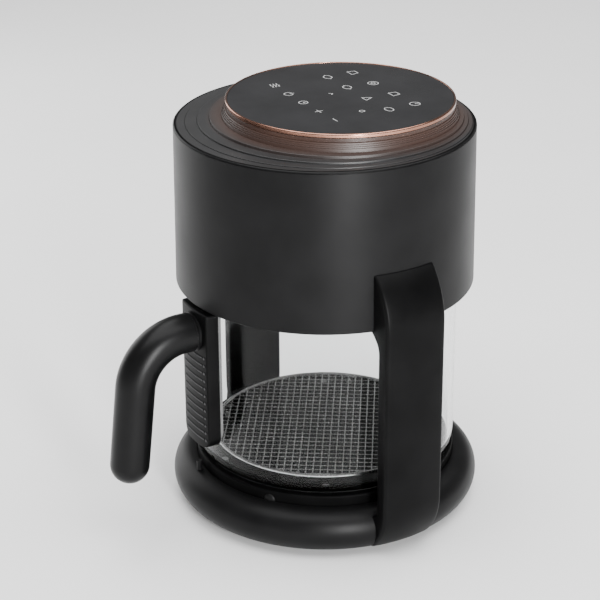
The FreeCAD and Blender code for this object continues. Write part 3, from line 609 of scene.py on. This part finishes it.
class FRYER_OT_base(bpy.types.Operator):
    """Build the fat rounded base ring with its deck, and the plinth that the jar stands on"""
    bl_idname = "fryer.base"
    bl_label = "Base"

    def execute(self, context):
        centre, level, bulge = 108.7 * MM, 20.6 * MM, 17.9 * MM
        deck_radius, skin, recess, foot = 107.3 * MM, 2.5 * MM, 70 * MM, 3.0 * MM
        t = np.radians(np.linspace(-79.4, 94.5, 60))
        arc = np.stack([centre + bulge * np.cos(t), level + bulge * np.sin(t)], axis=1)
        deck = SEAT_LOW.z
        inside = rounded([(*arc[-1], 0), (deck_radius, deck, 0.4 * MM), (recess, deck, 0),
                          (recess, deck - skin, 0), (deck_radius - skin, deck - skin, 0),
                          (deck_radius - skin, foot, 0)], closed=False)
        outline = np.concatenate([arc, inside[1:]])
        plastic = DRESS["satin_black"].material
        build("base_ring", [(turned(outline, columns=224), True, True)], "frame",
              plastic, ["base_shell"])
        seat, top, groove = SEAT_HIGH.x, SEAT_HIGH.z, SEAT_HIGH.z - 0.5 * MM
        plinth = rounded([(0, deck, 0), (seat - skin, deck, 0), (seat, deck + skin, 1 * MM),
                          (seat, top, 1.5 * MM), (99 * MM, top, 0.6 * MM),
                          (98.4 * MM, groove, 0.3 * MM), (97.6 * MM, groove, 0.3 * MM),
                          (97 * MM, top, 0.6 * MM), (0, top, 0)], closed=False)
        build("plinth", [(turned(plinth, columns=224), False, True)], "frame",
              DRESS["seat_painted_shade"].material, ["jar_seat"])
        return {"FINISHED"}


class FRYER_OT_button(bpy.types.Operator):
    """Build the low domed button on the plinth's side, cut off level by the base ring under it"""
    bl_idname = "fryer.button"
    bl_label = "Seat button"

    def execute(self, context):
        """Radius r sin a and reach h cos a, swept by b; what is under the ring's top is lifted to it."""
        turn = math.radians(-54.7)
        wide, reach, level, shelf = 4.9 * MM, 1.9 * MM, 39.2 * MM, 38.7 * MM
        a = np.linspace(0.0, math.pi / 2, 12)
        radius = np.concatenate([[0.0], wide * np.sin(a[::-1])])
        out = np.concatenate([[-0.6 * MM], reach * np.cos(a[::-1])])
        radius = np.insert(radius, 1, wide)
        out = np.insert(out, 1, -0.6 * MM)
        b = np.linspace(0.0, TURN, 48, endpoint=False)
        side = radius[:, None] * np.cos(b)
        height = np.maximum(level + radius[:, None] * np.sin(b), shelf)
        away = SEAT_HIGH.x + out[:, None] + 0 * side
        grid = np.stack([away * math.cos(turn) - side * math.sin(turn),
                         away * math.sin(turn) + side * math.cos(turn), height], axis=-1)
        build("seat_button", [(grid, False, True)], "frame",
              DRESS["satin_black"].material)
        return {"FINISHED"}


class FRYER_OT_columns(bpy.types.Operator):
    """Build the two columns that carry the head: a curved slab that bends into the base and the head"""
    bl_idname = "fryer.columns"
    bl_label = "Columns"

    def execute(self, context):
        """Outer radius: root at both ends, an arc of radius (f f + d d) / 2 d to the flat middle."""
        outer = COLUMN_HIGH.x
        depth = outer - 120.4 * MM
        low, high = COLUMN_LOW.z, COLUMN_HIGH.z
        low_bend, high_bend = 47 * MM, 198 * MM
        span = np.linspace(0.0, 1.0, 40)
        z = np.unique(np.concatenate([low + (low_bend - low) * span ** 0.8,
                                      np.linspace(low_bend, high_bend, 60),
                                      high_bend + (high - high_bend) * (1 - span ** 1.6)]))
        curve = []
        for fall, drop in ((low_bend - low, np.clip(low_bend - z, 0, None)),
                           (high - high_bend, np.clip(z - high_bend, 0, None))):
            sweep = (fall ** 2 + depth ** 2) / (2 * depth)
            curve.append(sweep - np.sqrt(np.maximum(sweep ** 2 - drop ** 2, 0.0)))
        far = outer - curve[0] - curve[1]
        sweep_in = np.clip((z - HEAD_LOW + 16 * MM) / (16 * MM), 0.0, 1.0)
        near = np.interp(z, [30 * MM, 37 * MM], [112 * MM, 126 * MM]) - 12 * MM * sweep_in ** 2
        near = np.minimum(near, far - 0.6 * MM)
        half_depth = (far - near) / 2.0
        bend = np.minimum(2.6 * MM, half_depth * 0.9)
        half_width = COLUMN_HIGH.y
        place = slab_section(half_depth, np.full_like(z, half_width), bend)
        # caps shrink the last rows to a point on their own centre
        place = np.concatenate([place[:1] * 0.0, place, place[-1:] * 0.0])
        z = np.concatenate([z[:1], z, z[-1:]])
        middle = np.concatenate([(far + near)[:1] / 2, (far + near) / 2, (far + near)[-1:] / 2])
        radius = middle[:, None] + place[..., 0]
        y = place[..., 1]
        x = np.sqrt(radius ** 2 - y ** 2)
        grid = np.stack([x, y, np.broadcast_to(z[:, None], x.shape)], axis=-1)
        for name, sign, node in (("column_near", 1.0, "column_cover_near"),
                                 ("column_far", -1.0, "column_cover_far")):
            build(name, [(grid * np.array([sign, 1.0, 1.0]), False, True)], "frame",
                  DRESS["column_painted_shade"].material, [node], 38.0)
        return {"FINISHED"}


class FRYER_OT_jar(bpy.types.Operator):
    """Build the glass jar with its rounded foot and fire-polished rim"""
    bl_idname = "fryer.jar"
    bl_label = "Glass jar"

    def execute(self, context):
        low, high, outer = JAR_LOW.z, JAR_HIGH.z, JAR_HIGH.x
        inner = outer - 4 * MM
        outline = rounded([(0, low, 0), (outer, low, 8 * MM), (outer, high, 1.9 * MM),
                           (inner, high, 1.9 * MM), (inner, low + 5 * MM, 5 * MM),
                           (0, low + 5 * MM, 0)], closed=False, steps=12)
        build("jar", [(turned(outline, columns=256), False, True)], "jar",
              DRESS["clear_glass"].material, ["glass_jar"], 60.0)
        return {"FINISHED"}


class FRYER_OT_bracket(bpy.types.Operator):
    """Build the handle's bracket: a curved plate with fine ribs, a dot at each rib's end and a lip"""
    bl_idname = "fryer.bracket"
    bl_label = "Bracket"

    def execute(self, context):
        low, high = BRACKET_LOW.z, BRACKET_HIGH.z
        half, corner = BRACKET_HIGH.x, 10 * MM
        face, back = -BRACKET_LOW.y - 1.0 * MM, 110.5 * MM
        top_corner, top_round, side_round = 2 * MM, 1.4 * MM, 1.6 * MM
        z = np.linspace(low, high, 420)
        under = np.clip(corner - (z - low), 0.0, corner)
        over = np.clip(top_corner - (high - z), 0.0, top_corner)
        width = (half - corner + np.sqrt(np.maximum(corner ** 2 - under ** 2, 0.0))
                 - (top_corner - np.sqrt(np.maximum(top_corner ** 2 - over ** 2, 0.0))))
        bow = np.clip(top_round - (high - z), 0, top_round)
        front = face - (top_round - np.sqrt(np.maximum(top_round ** 2 - bow ** 2, 0.0)))
        across = np.linspace(-1.0, 1.0, 121)
        soft = np.clip((1.0 - np.abs(across)) * half / side_round, 0.0, 1.0)
        edge = side_round * (1.0 - np.sqrt(1.0 - (1.0 - soft) ** 2))
        x = width[:, None] * across
        pitch = context.scene.fryer_sizes.rib_pitch
        first = low + 8 * MM
        number = np.clip(np.round((z - first) / pitch), 0, 11)
        gap = np.abs(z - first - number * pitch)
        ridge = np.clip(1.0 - (gap / (0.9 * MM)) ** 2, 0.0, 1.0)
        span = np.clip((15.2 * MM - np.abs(x + 0.8 * MM)) / (0.4 * MM), 0.0, 1.0)
        dot = np.sqrt(np.clip(1.0 - (gap[:, None] ** 2 + (x - 16.9 * MM) ** 2) / (1.2 * MM) ** 2, 0, 1))
        raised = 0.85 * MM * np.maximum(ridge[:, None] * span, dot)
        outside = front[:, None] - edge + raised
        inside = np.full_like(outside, back)
        radius = np.concatenate([outside, inside[:, ::-1]], axis=1)
        x = np.concatenate([x, x[:, ::-1]], axis=1)
        height = np.broadcast_to(z[:, None], x.shape)
        grid = np.stack([x, -np.sqrt(radius ** 2 - x ** 2), height], axis=-1)
        middle = np.concatenate([grid[:1].mean(axis=1, keepdims=True) + 0 * grid[:1], grid,
                                 grid[-1:].mean(axis=1, keepdims=True) + 0 * grid[-1:]])
        build("bracket", [(middle, False, True)], "jar",
              DRESS["bracket_shade_and_highlight"].material, ["handle_bracket"], 50.0)
        return {"FINISHED"}


class FRYER_OT_handle(bpy.types.Operator):
    """Build the round handle: stub, wide bend, leaning leg with a domed end, and a joint groove"""
    bl_idname = "fryer.handle"
    bl_label = "Handle"

    def execute(self, context):
        """Centre line: straight, an arc of one radius, straight; radius sqrt(r r - d d) over the dome."""
        grip = GRIP_HIGH.x - 0.02 * MM
        lean = math.radians(6.6)
        bend, level, stub = 42 * MM, 170 * MM, -130 * MM
        start = GRIP_HIGH.y - 0.33 * MM
        angle = np.linspace(0.0, math.pi / 2 - lean, 40)
        arc = np.stack([stub - bend * np.sin(angle), level - bend + bend * np.cos(angle)], axis=1)
        down = np.array([-math.sin(lean), -math.cos(lean)])
        leg_length = (arc[-1, 1] - 68 * MM) / math.cos(lean)
        y = start - np.array([0.0, 0.3, 1.9, 2.2, 2.5, 3.1, 3.4, 3.7, 6.0]) * MM
        lead = np.stack([y, np.full(len(y), level)], axis=1)
        leg = arc[-1] + down * np.linspace(0.0, leg_length, 20)[1:, None]
        dome = np.sin(np.linspace(0.0, math.pi / 2, 24))[1:] * grip
        tip = leg[-1] + down * dome[:, None]
        line = np.concatenate([lead[:1], lead, arc, leg, tip])
        radius = np.full(len(line), grip)
        radius[0] = 0.0
        # the three points in the middle of the lead sink into a joint groove
        radius[4:7] = grip - 0.55 * MM
        radius[-len(dome):] = np.sqrt(np.maximum(grip ** 2 - dome ** 2, 0.0))
        path = np.column_stack([np.zeros(len(line)), line])
        path[0, 1] = path[1, 1] + 0.05 * MM
        grid = tube(path, radius, radius, (1, 0, 0), sides=72)
        build("handle", [(grid, False, True)], "jar",
              DRESS["handle_black"].material, ["handle_grip"], 50.0)
        return {"FINISHED"}


class FRYER_OT_rack(bpy.types.Operator):
    """Build the rack: a round rim wire and two layers of straight wires, welded where they cross"""
    bl_idname = "fryer.rack"
    bl_label = "Wire rack"

    def execute(self, context):
        """Wire radius: w (1 + b exp(-(d / g)^2)), where d is the distance to the nearest crossing."""
        level = (RACK_LOW.z + RACK_HIGH.z) / 2.0
        rim = RACK_HIGH.x - 1.5 * MM
        t = np.linspace(0.0, TURN, 200, endpoint=False)
        ring = np.stack([rim * np.cos(t), rim * np.sin(t), np.full(200, level)], axis=1)
        steel = DRESS["stainless_wire"].material
        build("rack_ring", [(tube(ring, 1.5 * MM, 1.5 * MM, (0, 0, 1), True, 16), True, True)],
              "rack", steel, ["rack_rim"])
        sizes = context.scene.fryer_sizes
        wire = sizes.wire_radius
        turn = sizes.rack_turn
        forward = np.array([-math.sin(turn), math.cos(turn), 0.0])
        sideways = np.array([math.cos(turn), math.sin(turn), 0.0])
        layers = (("wires_along", "rack_wires_along", forward, sideways, wire, sizes.mesh_pitch,
                   sizes.cross_pitch),
                  ("wires_across", "rack_wires_across", sideways, forward, -wire, sizes.cross_pitch,
                   sizes.mesh_pitch))
        for name, node, heading, step, lift, pitch, crossing in layers:
            grids = []
            count = int(2 * (rim - 3 * MM) / pitch)
            crossings = int(2 * (rim - 3 * MM) / crossing)
            for k in range(count + 1):
                offset = (k - count / 2.0) * pitch
                half = math.sqrt(max((rim - 0.2 * MM) ** 2 - offset ** 2, 0.0))
                if half < 12 * MM:
                    continue
                s = np.linspace(-half, half, 7 * int(2 * half / crossing) + 9)
                phase = s / crossing + crossings / 2.0
                away = np.abs(phase - np.round(phase)) * crossing
                thin = 1.05 if lift > 0.0 else 0.62
                swell = wire * thin * (1.0 + 0.25 * np.exp(-(away / (0.9 * MM)) ** 2))
                centre = heading * s[:, None] + step * offset + np.array([0.0, 0.0, level + lift])
                swell = np.concatenate([[0.0], swell, [0.0]])
                centre = np.concatenate([centre[:1] - heading * 0.05 * MM, centre,
                                         centre[-1:] + heading * 0.05 * MM])
                grids.append((tube(centre, swell, swell, (0, 0, 1), sides=6), False, True))
            build(name, grids, "rack", steel, [node], 60.0)
        return {"FINISHED"}


# ---- stage --------------------------------------------------------------------------------------

def area_light(name, place, target, size, power, size_y=None):
    """A soft rectangular light that faces a target point."""
    data = bpy.data.lights.new(name, "AREA")
    data.shape = "RECTANGLE"
    data.size = size
    data.size_y = size_y or size
    data.energy = power
    light = bpy.data.objects.new(name, data)
    bpy.context.scene.collection.objects.link(light)
    light.location = place
    gaze = np.array(target) - np.array(place)
    across = math.atan2(gaze[0], -gaze[1])
    tilt = math.acos(-gaze[2] / np.linalg.norm(gaze))
    light.rotation_euler = (tilt, 0.0, across + math.pi)
    light.visible_camera = False
    light.visible_transmission = False


def polar(azimuth, distance, height):
    """A place on the camera's side of the circle: x = d sin a, y = -d cos a."""
    angle = math.radians(azimuth)
    return (distance * math.sin(angle), -distance * math.cos(angle), height)


class FRYER_OT_stage(bpy.types.Operator):
    """Lay a plain pale floor, hang soft studio lights and set up the camera"""
    bl_idname = "fryer.stage"
    bl_label = "Stage"

    def execute(self, context):
        scene = context.scene
        across = np.linspace(-9.0, 9.0, 2)
        gx, gy = np.meshgrid(across, across, indexing="ij")
        floor = np.stack([gx, gy, np.zeros_like(gx)], axis=-1).reshape(-1, 3)
        mesh = bpy.data.meshes.new("floor")
        mesh.from_pydata(floor, [], [(0, 2, 3, 1)])
        piece = bpy.data.objects.new("floor", mesh)
        finish = Finish("floor", Roughness=0.9, Specular_IOR_Level=0.1)
        finish.colour(finish.blend(finish.spread(finish.noise(3.0), 0.0, 1.0),
                                   (0.86, 0.86, 0.86), (0.89, 0.89, 0.89)))
        mesh.materials.append(finish.material)
        scene.collection.objects.link(piece)

        world = bpy.data.worlds.new("studio")
        world.use_nodes = True
        world.node_tree.nodes["Background"].inputs["Color"].default_value = (1.0, 1.0, 1.0, 1.0)
        world.node_tree.nodes["Background"].inputs["Strength"].default_value = 0.3
        scene.world = world

        view = 59.5
        area_light("overhead", (0.1, 0.1, 2.6), (0, 0, 0.2), 3.4, 190.0)
        area_light("left wall", polar(view - 132, 1.3, 0.45), (0, 0, 0.2), 0.9, 7.0, size_y=0.9)
        area_light("right strip", polar(view + 17, 1.5, 0.42), (0, 0, 0.2), 0.22, 38.0, size_y=0.8)

        data = bpy.data.cameras.new("camera")
        data.sensor_width = 36.0
        data.lens = 117.43
        data.shift_x = -0.0414
        data.clip_end = 50.0
        camera = bpy.data.objects.new("camera", data)
        scene.collection.objects.link(camera)
        camera.location = polar(view, 1.4524, 0.8217)
        camera.rotation_euler = (math.radians(90.0 - 24.19), 0.0, math.radians(view))
        scene.camera = camera
        return {"FINISHED"}


class FRYER_PT_panel(bpy.types.Panel):
    """Lists the pieces of the air fryer and its settings"""
    bl_label = "Air Fryer"
    bl_idname = "FRYER_PT_panel"
    bl_space_type = "VIEW_3D"
    bl_region_type = "UI"
    bl_category = "Air Fryer"

    def draw(self, context):
        for group in (context.scene.fryer_look, context.scene.fryer_sizes):
            for name in group.__annotations__:
                self.layout.prop(group, name)
        for piece in PIECES:
            self.layout.operator(piece.bl_idname)


PIECES = (FRYER_OT_finishes, FRYER_OT_drum, FRYER_OT_top, FRYER_OT_bezel, FRYER_OT_symbols,
          FRYER_OT_base, FRYER_OT_button, FRYER_OT_columns, FRYER_OT_jar, FRYER_OT_bracket, FRYER_OT_handle,
          FRYER_OT_rack, FRYER_OT_stage)
CLASSES = (FryerLook, FryerSizes, *PIECES, FRYER_PT_panel)


def register():
    for item in CLASSES:
        bpy.utils.register_class(item)
    bpy.types.Scene.fryer_look = PointerProperty(type=FryerLook)
    bpy.types.Scene.fryer_sizes = PointerProperty(type=FryerSizes)


def unregister():
    del bpy.types.Scene.fryer_sizes
    del bpy.types.Scene.fryer_look
    for item in reversed(CLASSES):
        bpy.utils.unregister_class(item)


def main():
    register()
    for piece in PIECES:
        group, name = piece.bl_idname.split(".")
        getattr(getattr(bpy.ops, group), name)()


if __name__ == "__main__":
    main()
